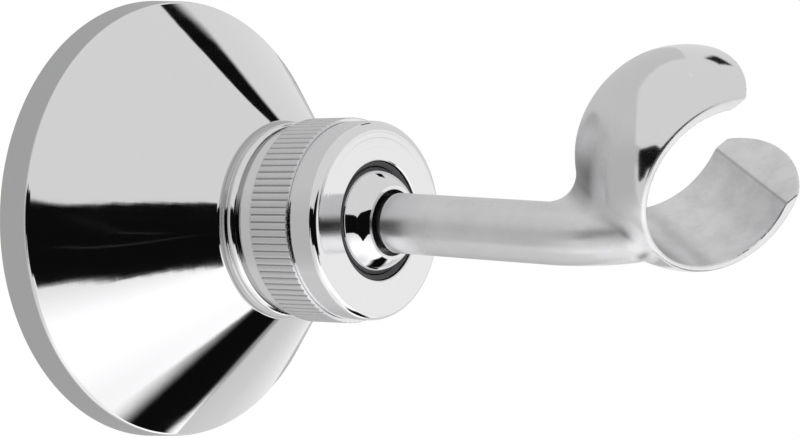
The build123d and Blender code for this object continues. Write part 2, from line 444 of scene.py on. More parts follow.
def knurl_angles():
    """Angles round the nut, close together at the knurl's grooves, and how deep the groove is there."""
    pitch = 2 * math.pi / KNURL_COUNT
    groove = KNURL_DEPTH / NUT_RADIUS
    near = np.array(KNURL_SHARES) * groove
    offsets = np.concatenate([near, [pitch / 2], pitch - near[:0:-1]])
    angles = (np.arange(KNURL_COUNT)[:, None] * pitch + offsets[None, :]).reshape(-1)
    reach = np.minimum(offsets, pitch - offsets)
    depth = KNURL_DEPTH * np.clip(1 - np.maximum(reach, near[1]) / groove, 0, 1)
    return angles, np.tile(depth, KNURL_COUNT)


def make_nut():
    """The clamp nut: plain tail, straight knurl, groove, smooth band, rounded edge and flat front."""
    groove_radius = NUT_BAND_RADIUS - NUT_GROOVE_DEPTH
    groove_end = KNURL_END + NUT_GROOVE_WIDTH
    front_back = NUT_FACE - NUT_FRONT_WALL
    corners = [
        (NUT_BORE, NUT_START, 0),
        (NUT_TAIL_RADIUS, NUT_START, NUT_TAIL_EDGE),
        (NUT_TAIL_RADIUS, KNURL_START - KNURL_LEAD, 0.08),
        (NUT_RADIUS, KNURL_START, 0.15),
        (NUT_RADIUS, KNURL_END, 0.12),
        (groove_radius, KNURL_END, 0),
        (groove_radius, groove_end, 0),
        (NUT_BAND_RADIUS, groove_end, 0.06),
        (NUT_BAND_RADIUS, NUT_FACE, NUT_EDGE),
        (NUT_OPENING + NUT_OPENING_EDGE, NUT_FACE, 0.06),
        (NUT_OPENING, NUT_FACE - NUT_OPENING_EDGE, 0.06),
        (NUT_OPENING, front_back, 0),
        (NUT_BORE, front_back, 0),
    ]
    angles, depth = knurl_angles()
    section = soft_section(corners)[::-1]
    nut = wall_lathe("nut_turning", section, angles, NUT_RADIUS - depth)
    radius, height = section.T
    cut = radius[None, :] - (NUT_RADIUS - depth)[:, None]
    knurled = (height > KNURL_START) & (height < KNURL_END) & (radius > NUT_BAND_RADIUS)
    # Dull in the knurl: rougher, with painted shade that is darkest at the bottom of each groove and a
    # quarter as dark over the lands
    mark(nut, "dull", np.maximum(np.clip(cut / KNURL_DEPTH, 0, 1), KNURL_SATIN * knurled).reshape(-1))
    outwards = ease((radius - NUT_OPENING) / (NUT_BAND_RADIUS - NUT_OPENING))
    on_face = height > NUT_FACE - SUPPORT
    mark(nut, "lathe", np.tile(outwards * on_face, len(angles)))
    return nut


def make_bearing_ring():
    """The dark plastic ring behind the nut's front wall, with its countersunk nose round the ball."""
    mouth = math.sqrt(SEAT_RADIUS**2 - (RING_MOUTH - BALL_HEIGHT) ** 2)
    middle_height = (BALL_HEIGHT + RING_MOUTH) / 2
    middle = math.sqrt(SEAT_RADIUS**2 - (middle_height - BALL_HEIGHT) ** 2)
    seat_end = (SEAT_RADIUS, BALL_HEIGHT)
    seat = arc_through((mouth, RING_MOUTH), (middle, middle_height), seat_end, SEAT_STEPS)
    corners = [
        (SEAT_RADIUS, RING_START, 0.15),
        (RING_OUTSIDE, RING_START, 0.2),
        (RING_OUTSIDE, RING_SHOULDER, 0.2),
        (RING_NOSE, RING_SHOULDER, 0),
        (RING_NOSE, RING_FACE, 0.12),
        *seat,
    ]
    return wall_lathe("ring_moulding", soft_section(corners)[::-1], even_angles(BALL_AROUND))


def arm_points(along, radius, angle):
    """Points by distance along the arm from the ball's centre, radius from its axis and angle round it."""
    side = np.cross(ARM_WAY, ARM_UP)
    away = np.cos(angle)[..., None] * ARM_UP + np.sin(angle)[..., None] * side
    return BALL_CENTRE + along[..., None] * ARM_WAY + radius[..., None] * away


def make_ball():
    """The polished ball, with its flat and the stepped hole for the arm."""
    flat = math.sqrt(BALL_RADIUS**2 - BALL_FLAT_RADIUS**2)
    last = math.atan2(BALL_FLAT_RADIUS, flat)
    corners = []
    for i in range(BALL_STEPS + 1):
        angle = math.pi + (last - math.pi) * i / BALL_STEPS
        corners.append((BALL_RADIUS * math.sin(angle), BALL_RADIUS * math.cos(angle), 0))
    corners[0] = (0.0, -BALL_RADIUS, 0)
    corners += [
        (BALL_MOUTH, flat, 0.12),
        (BALL_MOUTH, flat - BALL_MOUTH_DEPTH, 0.1),
        (BALL_BORE, flat - BALL_MOUTH_DEPTH, 0.1),
        (BALL_BORE, -BALL_BORE_END, 0),
        (0.0, -BALL_BORE_END, 0),
    ]
    section = soft_section(corners, closed=False)
    angles = even_angles(BALL_AROUND)
    along = np.repeat(section[None, :, 1], BALL_AROUND, 0)
    radius = np.repeat(section[None, :, 0], BALL_AROUND, 0)
    points = arm_points(along, radius, np.repeat(angles[:, None], len(section), 1)).reshape(-1, 3)
    ball = mesh_object("ball_turning", points, grid_faces(BALL_AROUND, len(section), False))
    on_flat = (section[:, 0] < BALL_FLAT_RADIUS - SUPPORT) & (section[:, 1] > 0)
    mark(ball, "dull", np.tile(BALL_FLAT_SATIN * on_flat, BALL_AROUND))
    # Painted shade in the hole for the arm, deepest towards the top
    in_sphere = np.hypot(section[:, 0], section[:, 1]) < BALL_RADIUS - SUPPORT
    in_hole = in_sphere & (section[:, 0] < BALL_MOUTH + SUPPORT) & (section[:, 1] < flat - SUPPORT)
    above = ease((points[:, 2] + BALL_MOUTH) / BALL_MOUTH)
    painted_shade = HOLE_SHADE_BELOW + (HOLE_SHADE - HOLE_SHADE_BELOW) * above
    mark(ball, "painted_shade", np.tile(in_hole, BALL_AROUND) * painted_shade)
    weld(ball)
    return ball


def weld(thing):
    """Joins the points that meet on a turned piece's axis, and turns its faces outwards."""
    work = bmesh.new()
    work.from_mesh(thing.data)
    bmesh.ops.remove_doubles(work, verts=work.verts, dist=WELD_DISTANCE)
    bmesh.ops.recalc_face_normals(work, faces=work.faces)
    work.to_mesh(thing.data)
    work.free()
    thing.data.set_sharp_from_angle(angle=SHARP_ANGLE)


def from_cradle(points):
    """Points of the cradle's frame in the rosette's frame."""
    return CRADLE + points[:, :1] * BORE_WAY + points[:, 1:2] * SLOT_WAY + points[:, 2:] * CROSS_WAY


def in_plane(direction):
    """A direction of the arm's plane of symmetry as (along the bore, towards the slot)."""
    return np.array([direction @ BORE_WAY, direction @ SLOT_WAY])


ARM_WAY_2D = in_plane(ARM_WAY)
ARM_UP_2D = in_plane(ARM_UP)
BALL_2D = in_plane(BALL_CENTRE - CRADLE)
BEND_CENTRE_2D = BALL_2D + ARM_WAY_2D * BEND_START + ARM_UP_2D * BEND_RADIUS
BEND_END_ANGLE = math.radians(BEND_ANGLE)


def arm_distance(p):
    """Distance from the round arm, straight and then bent, with a round end, and the way away from it."""
    a = p[..., 0] - BEND_CENTRE_2D[0]
    b = p[..., 1] - BEND_CENTRE_2D[1]
    ahead = a * ARM_WAY_2D[0] + b * ARM_WAY_2D[1]
    below = -(a * ARM_UP_2D[0] + b * ARM_UP_2D[1])
    angle = np.clip(np.arctan2(ahead, below), 0, BEND_END_ANGLE)
    core_ahead = np.where(angle > 0, BEND_RADIUS * np.sin(angle), np.minimum(ahead, 0))
    core_below = BEND_RADIUS * np.cos(angle)
    off_ahead = ahead - core_ahead
    off_below = below - core_below
    off = np.stack(
        [
            off_ahead * ARM_WAY_2D[0] - off_below * ARM_UP_2D[0],
            off_ahead * ARM_WAY_2D[1] - off_below * ARM_UP_2D[1],
            p[..., 2],
        ],
        -1,
    )
    length = np.maximum(np.linalg.norm(off, axis=-1), TINY)
    return length - ARM_RADIUS, off / length[..., None]


def crown_distance(p):
    """Distance from the cradle's crowned outside, which goes on past its rims, and the way away from it."""
    crown_height = CREST_WALL - RIM_WALL
    crown_radius = ((CRADLE_WIDTH / 2) ** 2 + crown_height**2) / (2 * crown_height)
    core = CRADLE_BORE + CREST_WALL - crown_radius
    b = p[..., 1] - CROWN_SHIFT
    spread = np.maximum(np.hypot(b, p[..., 2]), TINY)
    out = spread - core
    length = np.maximum(np.hypot(out, p[..., 0]), TINY)
    way = np.stack([p[..., 0], out * b / spread, out * p[..., 2] / spread], -1)
    return length - crown_radius, way / length[..., None]


def rolled_fillet(p):
    """Distance from the fillet that a ball leaves as it rolls along arm and crown, and where it counts."""
    centre = p.copy()
    for _ in range(FILLET_ROUNDS):
        d1, n1 = arm_distance(centre)
        d2, n2 = crown_distance(centre)
        lean = (n1 * n2).sum(-1)
        spread = np.maximum(1 - lean**2, LEAST_SPREAD)
        e1 = ROOT_FILLET - d1
        e2 = ROOT_FILLET - d2
        centre += ((e1 - lean * e2) / spread)[:, None] * n1 + ((e2 - lean * e1) / spread)[:, None] * n2
        tangent = np.cross(n1, n2)
        tangent /= np.maximum(np.linalg.norm(tangent, axis=-1), TINY)[:, None]
        centre -= ((centre - p) * tangent).sum(-1)[:, None] * tangent
    d1, n1 = arm_distance(centre)
    d2, n2 = crown_distance(centre)
    lean = (n1 * n2).sum(-1)
    away = centre - p
    w1 = (away * n1).sum(-1)
    w2 = (away * n2).sum(-1)
    between = (w1 > lean * w2) & (w2 > lean * w1)
    on_arm = abs(d1 - ROOT_FILLET) < FILLET_TOLERANCE
    on_crown = abs(d2 - ROOT_FILLET) < FILLET_TOLERANCE
    return ROOT_FILLET - np.linalg.norm(away, axis=-1), between & on_arm & on_crown


def both(first, second):
    """Distance from what two solids share, with its edge rounded."""
    edge = CRADLE_EDGE
    outside = np.hypot(np.maximum(first + edge, 0), np.maximum(second + edge, 0))
    return np.minimum(np.maximum(first, second), -edge) + outside


def cradle_distance(p):
    """Distance from the cradle and the end of the arm: cast form, then facing, boring and slotting."""
    shape = p.shape[:-1]
    p = p.reshape(-1, 3)
    half = CRADLE_WIDTH / 2
    d1 = arm_distance(p)[0]
    d2 = crown_distance(p)[0]
    d = np.minimum(d1, both(d2, -p[:, 0] - half))
    reach = ROOT_FILLET + FILLET_MARGIN
    near = (d > -FILLET_DEPTH) & (d1 < reach) & (d2 < reach)
    fillet, found = rolled_fillet(p[near])
    d[near] = np.where(found, fillet, d[near])
    across = abs(p[:, 2])
    d = both(d, p[:, 0] - half)
    d = both(d, CRADLE_BORE - np.hypot(p[:, 1], p[:, 2]))
    d = both(d, np.minimum(p[:, 1], SLOT_WIDTH / 2 - across))
    return d.reshape(shape)


def slope_of(function, points):
    """The direction in which a distance grows at each point."""
    slope = np.zeros_like(points)
    for k in range(3):
        shift = np.zeros(3)
        shift[k] = SLOPE_STEP
        slope[:, k] = (function(points + shift) - function(points - shift)) / (2 * SLOPE_STEP)
    return slope


def crossed_cells(values):
    """The cells of a grid of distances that the surface crosses, and the middle of its crossings in each."""
    counts = values.shape
    inside = values < 0
    corners = np.array([(i, j, k) for i in (0, 1) for j in (0, 1) for k in (0, 1)])
    total = sum(
        inside[i : counts[0] - 1 + i, j : counts[1] - 1 + j, k : counts[2] - 1 + k].astype(int)
        for i, j, k in corners
    )
    cells = np.argwhere((total > 0) & (total < 8))
    corner_values = np.stack([values[tuple((cells + c).T)] for c in corners], 1)
    place = np.zeros((len(cells), 3))
    crossings = np.zeros(len(cells))
    for m in range(8):
        for n in range(m + 1, 8):
            if abs(corners[m] - corners[n]).sum() != 1:
                continue
            v1 = corner_values[:, m]
            v2 = corner_values[:, n]
            crossed = (v1 < 0) != (v2 < 0)
            share = np.where(crossed, v1 / np.where(crossed, v1 - v2, 1), 0)
            point = corners[m] + share[:, None] * (corners[n] - corners[m])
            place += np.where(crossed[:, None], point, 0)
            crossings += crossed
    return cells, place / crossings[:, None]


def net_quads(inside, number):
    """Quads round the grid edges that cross the surface, each between the four cells beside its edge."""
    counts = inside.shape
    quads = []
    for k in range(3):
        i = (k + 1) % 3
        j = (k + 2) % 3
        start = np.moveaxis(inside, k, 0)[:-1]
        end = np.moveaxis(inside, k, 0)[1:]
        edges = np.argwhere(np.moveaxis(start != end, 0, k))
        keep = (edges[:, i] > 0) & (edges[:, j] > 0) & (edges[:, i] < counts[i] - 1)
        edges = edges[keep & (edges[:, j] < counts[j] - 1)]
        leaving = inside[tuple(edges.T)]
        round_edge = []
        for di, dj in ((1, 1), (0, 1), (0, 0), (1, 0)):
            beside = edges.copy()
            beside[:, i] -= di
            beside[:, j] -= dj
            round_edge.append(number[tuple(beside.T)])
        quad = np.stack(round_edge, 1)
        quad[~leaving] = quad[~leaving][:, ::-1]
        quads.append(quad)
    return np.concatenate(quads)


def surface_net(function, low, high, cell):
    """A net of quads over the surface where function is 0, with a point in each grid cell that it crosses."""
    counts = np.ceil((high - low) / cell).astype(int) + 1
    axes = [low[k] + cell * np.arange(counts[k]) for k in range(3)]
    values = function(np.stack(np.meshgrid(*axes, indexing="ij"), -1))
    cells, place = crossed_cells(values)
    number = np.full(tuple(counts - 1), -1)
    number[tuple(cells.T)] = np.arange(len(cells))
    return low + cell * (cells + place), net_quads(values < 0, number)


def make_cradle_skin():
    """The skin of the cradle and the arm's end, its points drawn onto the true surface, open at the arm."""
    half = CRADLE_WIDTH / 2
    start = BALL_2D + ARM_WAY_2D * SKIN_START
    outside = CRADLE_BORE + CREST_WALL + SKIN_MARGIN
    low = np.array([*(start - ARM_RADIUS - SKIN_MARGIN), -outside])
    high = np.array([half + SKIN_MARGIN, outside + CROWN_SHIFT, outside])
    points, quads = surface_net(cradle_distance, low, high, SKIN_CELL)
    for _ in range(SKIN_ROUNDS):
        slope = slope_of(cradle_distance, points)
        steep = np.maximum((slope**2).sum(-1), LEAST_SLOPE)
        move = np.clip(cradle_distance(points) / steep, -SKIN_CELL, SKIN_CELL)
        points = points - move[:, None] * slope
    return points, quads


def tip_section():
    """The arm's section from the skin's start back to the spigot's end: radius and distance along the arm."""
    flat = math.sqrt(BALL_RADIUS**2 - BALL_FLAT_RADIUS**2)
    shoulder = flat - BALL_MOUTH_DEPTH + ARM_CLEARANCE
    tip = flat + ARM_TIP_LEAD
    end = -BALL_BORE_END + ARM_CLEARANCE
    corners = [
        (ARM_RADIUS, SKIN_START, 0),
        (ARM_RADIUS, tip + ARM_CHAMFER, 0.25),
        (ARM_TIP_RADIUS, tip, 0.1),
        (ARM_TIP_RADIUS, shoulder, 0.2),
        (SPIGOT_RADIUS, shoulder, 0.05),
        (SPIGOT_RADIUS, end, 0.2),
        (0.0, end, 0),
    ]
    return soft_section(corners, closed=False)


def cut_last(p):
    """Which points lie in the cradle's bore or slot, which are cut after the casting is polished."""
    across = abs(p[:, 2])
    bored = np.hypot(p[:, 1], across) < CRADLE_BORE + CUT_MARGIN
    slotted = (p[:, 1] > SLOT_START) & (across < SLOT_WIDTH / 2 + CUT_MARGIN)
    return (bored | slotted) & (abs(p[:, 0]) < CRADLE_WIDTH / 2 - CUT_RIM)


def casting_dullness(p):
    """How dull the casting is: satin along the arm and the rims, duller in the root, bore and slot."""
    from_arm = arm_distance(p)[0]
    from_crown = crown_distance(p)[0]
    satin = ARM_SATIN * np.maximum(ease(from_crown / ARM_SATIN_RUN), fade(from_arm, 0, ROOT_RUN))
    behind = fade(p[:, 0], *ROOT_BEHIND) * fade(from_arm, *ROOT_FROM_ARM)
    beside = fade(from_arm, 0, ROOT_FLANK)
    root = ROOT_DULLNESS * fade(from_crown, ROOT_FROM_CROWN, ROOT_RUN) * np.maximum(behind, beside)
    rim_edge = abs(p[:, 0]) - CRADLE_WIDTH / 2
    rim = CRADLE_RIM_SATIN * ease((rim_edge + CRADLE_RIM_WIDTH) / CRADLE_RIM_RUN)
    return np.where(cut_last(p), 1.0, np.maximum(np.maximum(satin, root), rim))


def casting_painted_shade(p):
    """Painted shade on the casting: darker in the corner over the arm, along the bore's creases, in a streak
    and over one side of the bore.
    """
    off_arm = abs(arm_distance(p)[0] - ROOT_SHADE_FROM_ARM)
    from_crown = crown_distance(p)[0]
    # Painted shade in the corner over the arm, on one side only
    behind = fade(p[:, 0], *ROOT_SHADE_BEHIND) * fade(off_arm, 0, ROOT_RUN)
    corner = behind * fade(from_crown, 0, ROOT_SHADE_RUN) * (p[:, 2] > 0)
    # Painted shade along the creases where the bore meets the slot, in a streak, and deepening round one side
    # of the bore
    flank = SLOT_WIDTH / 2
    off_crease = np.hypot(p[:, 1] - math.sqrt(CRADLE_BORE**2 - flank**2), abs(p[:, 2]) - flank)
    crease = CREASE_SHADE * np.clip(1 - off_crease / CREASE_RUN, 0, 1)
    angle = np.degrees(np.arctan2(p[:, 2], p[:, 1]))
    streak = STREAK_SHADE * fade(abs(angle - STREAK_MIDDLE), 0, STREAK_WIDTH)
    shade = SIDE_SHADE * ease((SHADE_START - angle) / SHADE_RUN)
    in_bore = np.maximum(crease, np.maximum(streak, shade))
    return np.where(cut_last(p), in_bore, ROOT_SHADE * corner)


def open_skin():
    """The cradle's skin, cut square across the arm."""
    points, quads = make_cradle_skin()
    work = bmesh.new()
    for p in from_cradle(points) * MM:
        work.verts.new(p)
    work.verts.ensure_lookup_table()
    for quad in quads:
        work.faces.new([work.verts[i] for i in quad])
    bmesh.ops.bisect_plane(
        work,
        geom=work.verts[:] + work.edges[:] + work.faces[:],
        dist=1e-7,
        plane_co=(BALL_CENTRE + ARM_WAY * SKIN_START) * MM,
        plane_no=ARM_WAY,
        clear_inner=True,
        clear_outer=False,
    )
    return work


def cut_loop(work):
    """The points of the skin's cut, in their order round the arm, and their angles."""
    side = np.cross(ARM_WAY, ARM_UP)
    loop = []
    for vertex in work.verts:
        away = np.array(vertex.co) / MM - BALL_CENTRE
        if vertex.is_boundary and abs(away @ ARM_WAY - SKIN_START) < CUT_TOLERANCE:
            loop.append((math.atan2(away @ side, away @ ARM_UP), vertex))
    loop.sort(key=lambda entry: entry[0])
    return [entry[1] for entry in loop], np.array([entry[0] for entry in loop])


def add_tip(work, ring, angles):
    """Joins the arm's turned end to the skin's cut."""
    section = tip_section()
    count = len(angles)
    for radius, along in section[1:-1]:
        places = arm_points(np.full(count, along), np.full(count, radius), angles) * MM
        fresh = [work.verts.new(p) for p in places]
        for k in range(count):
            m = (k + 1) % count
            work.faces.new([ring[k], ring[m], fresh[m], fresh[k]])
        ring = fresh
    end = work.verts.new((BALL_CENTRE + ARM_WAY * section[-1][1]) * MM)
    for k in range(count):
        work.faces.new([ring[k], ring[(k + 1) % count], end])


def make_arm():
    """The cast arm: the cradle's skin with the arm's turned end, marked with its finish and its painted
    shade.
    """
    work = open_skin()
    ring, angles = cut_loop(work)
    add_tip(work, ring, angles)
    bmesh.ops.recalc_face_normals(work, faces=work.faces)
    mesh = bpy.data.meshes.new("arm_casting")
    work.to_mesh(mesh)
    work.free()
    arm = smooth_object("arm_casting", mesh)
    away = np.array([vertex.co for vertex in mesh.vertices]) / MM - CRADLE
    p = np.stack([away @ BORE_WAY, away @ SLOT_WAY, away @ CROSS_WAY], -1)
    mark(arm, "dull", casting_dullness(p))
    # Painted shade in the root's corner and in the bore
    mark(arm, "painted_shade", casting_painted_shade(p))
    return arm


def node_link(material, kind, **inputs):
    """A new node in a material; inputs are numbers, colours, or sockets to link from."""
    node = material.node_tree.nodes.new(kind)
    for name, value in inputs.items():
        socket = node.inputs[name.replace("_", " ")]
        if isinstance(value, bpy.types.NodeSocket):
            material.node_tree.links.new(value, socket)
        else:
            socket.default_value = value
    return node


def blank_material(name):
    """A material with no nodes yet."""
    material = bpy.data.materials.new(name)
    material.use_nodes = True
    material.node_tree.nodes.clear()
    return material


def set_output(material, shader):
    """Makes a shader socket the material's surface."""
    output = material.node_tree.nodes.new("ShaderNodeOutputMaterial")
    material.node_tree.links.new(shader, output.inputs["Surface"])


def turned_place(material, place):
    """Where a point lies on a turned piece: its distance from the rosette's axis and its place along it."""
    flat = node_link(material, "ShaderNodeMapping", Vector=place, Scale=(1.0, 0.0, 1.0))
    distance = node_link(material, "ShaderNodeVectorMath")
    distance.operation = "LENGTH"
    material.node_tree.links.new(flat.outputs["Vector"], distance.inputs[0])
    height = node_link(material, "ShaderNodeSeparateXYZ", Vector=place)
    turned = node_link(material, "ShaderNodeCombineXYZ", X=distance.outputs["Value"], Y=height.outputs["Y"])
    return turned.outputs["Vector"]


def relief(material, place, scale, detail, depth, normal=None, strength=1.0):
    """A noise bump of the given depth in metres over another normal."""
    noise = node_link(material, "ShaderNodeTexNoise", Vector=place, Scale=scale, Detail=detail)
    bump = node_link(material, "ShaderNodeBump", Height=noise.outputs["Fac"], Strength=strength)
    bump.inputs["Distance"].default_value = depth
    if normal is not None:
        material.node_tree.links.new(normal, bump.inputs["Normal"])
    return bump.outputs["Normal"]


def varied(material, place, scale, least, most):
    """A value that wanders between two bounds from place to place."""
    cloud = node_link(material, "ShaderNodeTexNoise", Vector=place, Scale=scale, Detail=4.0)
    spread = node_link(
        material,
        "ShaderNodeMapRange",
        Value=cloud.outputs["Fac"],
        From_Min=POLISH_SPREAD[0],
        From_Max=POLISH_SPREAD[1],
        To_Min=least,
        To_Max=most,
    )
    return spread.outputs["Result"]


def marked(material, name):
    """How strongly the mesh is marked with a name at each place."""
    mark_node = node_link(material, "ShaderNodeAttribute")
    mark_node.attribute_name = name
    return mark_node.outputs["Fac"]


def stained(material, place, colour):
    """A colour with finely clouded darker stains."""
    cloud = node_link(
        material, "ShaderNodeTexNoise", Vector=place, Scale=STAIN_SCALE, Detail=6.0, Roughness=0.65
    )
    stain = node_link(material, "ShaderNodeValToRGB", Fac=cloud.outputs["Fac"])
    first, last = stain.color_ramp.elements
    first.position = STAIN_SPREAD[0]
    first.color = (*(STAIN_SHADE * c for c in colour), 1.0)
    last.position = STAIN_SPREAD[1]
    last.color = (*colour, 1.0)
    return stain.outputs["Color"]


def blended(material, colour, other, share):
    """A colour or colour socket that goes over to another with the share."""
    mix = material.node_tree.nodes.new("ShaderNodeMix")
    mix.data_type = "RGBA"
    material.node_tree.links.new(share, mix.inputs["Factor"])
    for name, value in (("A", colour), ("B", other)):
        if isinstance(value, bpy.types.NodeSocket):
            material.node_tree.links.new(value, mix.inputs[name])
        else:
            mix.inputs[name].default_value = (*value, 1.0)
    return mix.outputs["Result"]


def dulled(material, rough, dullness):
    """A roughness that grows with the dullness."""
    total = node_link(material, "ShaderNodeMath")
    total.operation = "MULTIPLY_ADD"
    material.node_tree.links.new(dullness, total.inputs[0])
    total.inputs[1].default_value = DULL_ROUGHNESS
    material.node_tree.links.new(rough, total.inputs[2])
    return total.outputs[0]


def chrome_material(name, colour, polish, wave, turning=None, dull_and_shade_colour=None, painted_shade_colour=None):
    """Chrome plate, a little wavy and with a varying polish.

    turning gives the depth of the fine turning lines, and the scale and depth of the coarse ones where the
    mesh is marked lathe. The dull colour is that of the places marked dull, and on the nut it is painted
    shade for the knurl's grooves. The last colour is painted shade, laid where the mesh is marked for it.
    """
    material = blank_material(name)
    place = node_link(material, "ShaderNodeTexCoord").outputs["Object"]
    normal = relief(material, place, WAVE_SCALE, 2.0, wave)
    rough = varied(material, place, POLISH_SCALE, *polish)
    tint = colour
    if turning is not None:
        fine_depth, coarse_scale, coarse_depth = turning
        turned = turned_place(material, place)
        normal = relief(material, turned, FINE_TURNING_SCALE, 2.0, fine_depth, normal)
        coarse = marked(material, "lathe")
        normal = relief(material, turned, coarse_scale, 3.0, coarse_depth, normal, coarse)
    if dull_and_shade_colour is not None:
        dullness = marked(material, "dull")
        grain = node_link(material, "ShaderNodeMapRange", Value=dullness, From_Min=ROOT_DULLNESS)
        strength = grain.outputs["Result"]
        normal = relief(material, place, CAST_GRAIN_SCALE, 4.0, CAST_GRAIN_DEPTH, normal, strength)
        rough = dulled(material, rough, dullness)
        # Where marked dull, the colour blends to the dull colour; on the nut this is painted shade in the
        # knurl's grooves
        tint = blended(material, tint, stained(material, place, dull_and_shade_colour), dullness)
    if painted_shade_colour is not None:
        # Painted shade, blended in where the mesh is marked for it
        tint = blended(material, tint, painted_shade_colour, marked(material, "painted_shade"))
    metal = node_link(material, "ShaderNodeBsdfPrincipled", Metallic=1.0, Roughness=rough, Normal=normal)
    if isinstance(tint, bpy.types.NodeSocket):
        material.node_tree.links.new(tint, metal.inputs["Base Color"])
    else:
        metal.inputs["Base Color"].default_value = (*tint, 1.0)
    set_output(material, metal.outputs["BSDF"])
    return material


def plastic_material(name, colour, rough):
    """Moulded plastic or rubber with a fine grain."""
    material = blank_material(name)
    place = node_link(material, "ShaderNodeTexCoord").outputs["Object"]
    normal = relief(
        material, place, MOULD_GRAIN_SCALE, 3.0, MOULD_GRAIN_DEPTH, strength=MOULD_GRAIN_STRENGTH
    )
    body = node_link(material, "ShaderNodeBsdfPrincipled", Roughness=rough, Normal=normal)
    body.inputs["Base Color"].default_value = (*colour, 1.0)
    set_output(material, body.outputs["BSDF"])
    return material


def wear(thing, material):
    """Gives a piece its one material."""
    thing.data.materials.clear()
    thing.data.materials.append(material)


def direction(azimuth, elevation):
    """The way to a place round the object, in degrees; azimuth 0 is straight in front of the wall."""
    turn = math.radians(azimuth)
    rise = math.radians(elevation)
    return Vector((math.sin(turn) * math.cos(rise), -math.cos(turn) * math.cos(rise), math.sin(rise)))


def set_camera():
    """The photo's viewpoint."""
    azimuth = math.radians(CAMERA_AZIMUTH)
    roll = math.radians(CAMERA_ROLL)
    back = direction(CAMERA_AZIMUTH, CAMERA_ELEVATION)
    level = Vector((math.cos(azimuth), math.sin(azimuth), 0.0))
    upright = back.cross(level)
    right = level * math.cos(roll) + upright * math.sin(roll)
    up = upright * math.cos(roll) - level * math.sin(roll)
    data = bpy.data.cameras.new("photo_camera")
    data.sensor_fit = "HORIZONTAL"
    data.sensor_width = SENSOR
    data.lens = SENSOR * FOCAL_PIXELS / IMAGE_WIDTH
    data.clip_start = 0.01
    data.clip_end = 50.0
    camera = bpy.data.objects.new("photo_camera", data)
    bpy.context.scene.collection.objects.link(camera)
    turn = Matrix((right, up, back)).transposed().to_4x4()
    camera.matrix_world = Matrix.Translation(Vector(CAMERA_PLACE) * MM) @ turn
    bpy.context.scene.camera = camera


def background_ray(tree):
    """1 for rays that should see the white background: from the camera, mirrors and glass."""
    path = tree.nodes.new("ShaderNodeLightPath")
    first = tree.nodes.new("ShaderNodeMath")
    first.operation = "MAXIMUM"
    tree.links.new(path.outputs["Is Camera Ray"], first.inputs[0])
    tree.links.new(path.outputs["Is Glossy Ray"], first.inputs[1])
    second = tree.nodes.new("ShaderNodeMath")
    second.operation = "MAXIMUM"
    tree.links.new(first.outputs[0], second.inputs[0])
    tree.links.new(path.outputs["Is Transmission Ray"], second.inputs[1])
    return second.outputs[0]


def set_world():
    """A white surround for the camera and the metal, and a softer one as light."""
    world = bpy.data.worlds.new("white_studio")
    world.use_nodes = True
    tree = world.node_tree
    tree.nodes.clear()
    light = tree.nodes.new("ShaderNodeBackground")
    light.inputs["Color"].default_value = (1.0, 1.0, 1.0, 1.0)
    light.inputs["Strength"].default_value = WORLD_LIGHT
    white = tree.nodes.new("ShaderNodeBackground")
    white.inputs["Color"].default_value = (1.0, 1.0, 1.0, 1.0)
    white.inputs["Strength"].default_value = 1.0
    mix = tree.nodes.new("ShaderNodeMixShader")
    tree.links.new(background_ray(tree), mix.inputs["Fac"])
    tree.links.new(light.outputs[0], mix.inputs[1])
    tree.links.new(white.outputs[0], mix.inputs[2])
    output = tree.nodes.new("ShaderNodeOutputWorld")
    tree.links.new(mix.outputs[0], output.inputs["Surface"])
    bpy.context.scene.world = world


def mixed_shader(material, share, first, second):
    """A shader that goes over from the first to the second with the share."""
    mix = node_link(material, "ShaderNodeMixShader", Fac=share)
    material.node_tree.links.new(first, mix.inputs[1])
    material.node_tree.links.new(second, mix.inputs[2])
    return mix.outputs[0]


def card_material():
    """A card's glow, brighter and fainter as the card says, fading out along its edges."""
    material = blank_material("studio_card")
    clear = node_link(material, "ShaderNodeBsdfTransparent")
    light = node_link(material, "ShaderNodeEmission", Strength=marked(material, "glow"))
    set_output(material, mixed_shader(material, marked(material, "fade"), clear.outputs[0], light.outputs[0]))
    return material


def studio_card(name, material, stations, distance, glows, fades):
    """A curved card round the object, seen only in its polish.

    stations are (azimuth, lowest and highest elevation) from left to right, glows are (elevation, brightness)
    from low to high, and fades are the degrees over which the left, right, lower and upper edges fade out.
    """
    points = []
    cover = []
    glow = []
    azimuths, lows, highs = np.array(stations, float).T
    heights, lights = np.array(glows, float).T
    for j in range(CARD_ROWS + 1):
        for i in range(CARD_COLUMNS + 1):
            azimuth = azimuths[0] + (azimuths[-1] - azimuths[0]) * i / CARD_COLUMNS
            low = np.interp(azimuth, azimuths, lows)
            high = np.interp(azimuth, azimuths, highs)
            elevation = low + (high - low) * j / CARD_ROWS
            points.append(CARD_CENTRE + distance * direction(azimuth, elevation))
            shares = (azimuth - azimuths[0], azimuths[-1] - azimuth, elevation - low, high - elevation)
            eased = [float(ease(s / width)) for s, width in zip(shares, fades) if width > 0]
            cover.append(math.prod(eased))
            glow.append(np.interp(elevation, heights, lights))
    row = CARD_COLUMNS + 1
    faces = []
    for j in range(CARD_ROWS):
        for i in range(CARD_COLUMNS):
            k = j * row + i
            faces.append((k, k + 1, k + row + 1, k + row))
    place_card(name, material, points, faces, cover, glow)


def place_card(name, material, points, faces, cover, glow):
    """Sets up a card that only the object's polish shows."""
    mesh = bpy.data.meshes.new(name)
    mesh.from_pydata(points, [], faces)
    mesh.materials.append(material)
    card = bpy.data.objects.new(name, mesh)
    mark(card, "fade", cover)
    mark(card, "glow", glow)
    bpy.context.scene.collection.objects.link(card)
    card.visible_camera = False
    card.visible_diffuse = False
    card.visible_shadow = False
    card.visible_transmission = False
    card.visible_volume_scatter = False


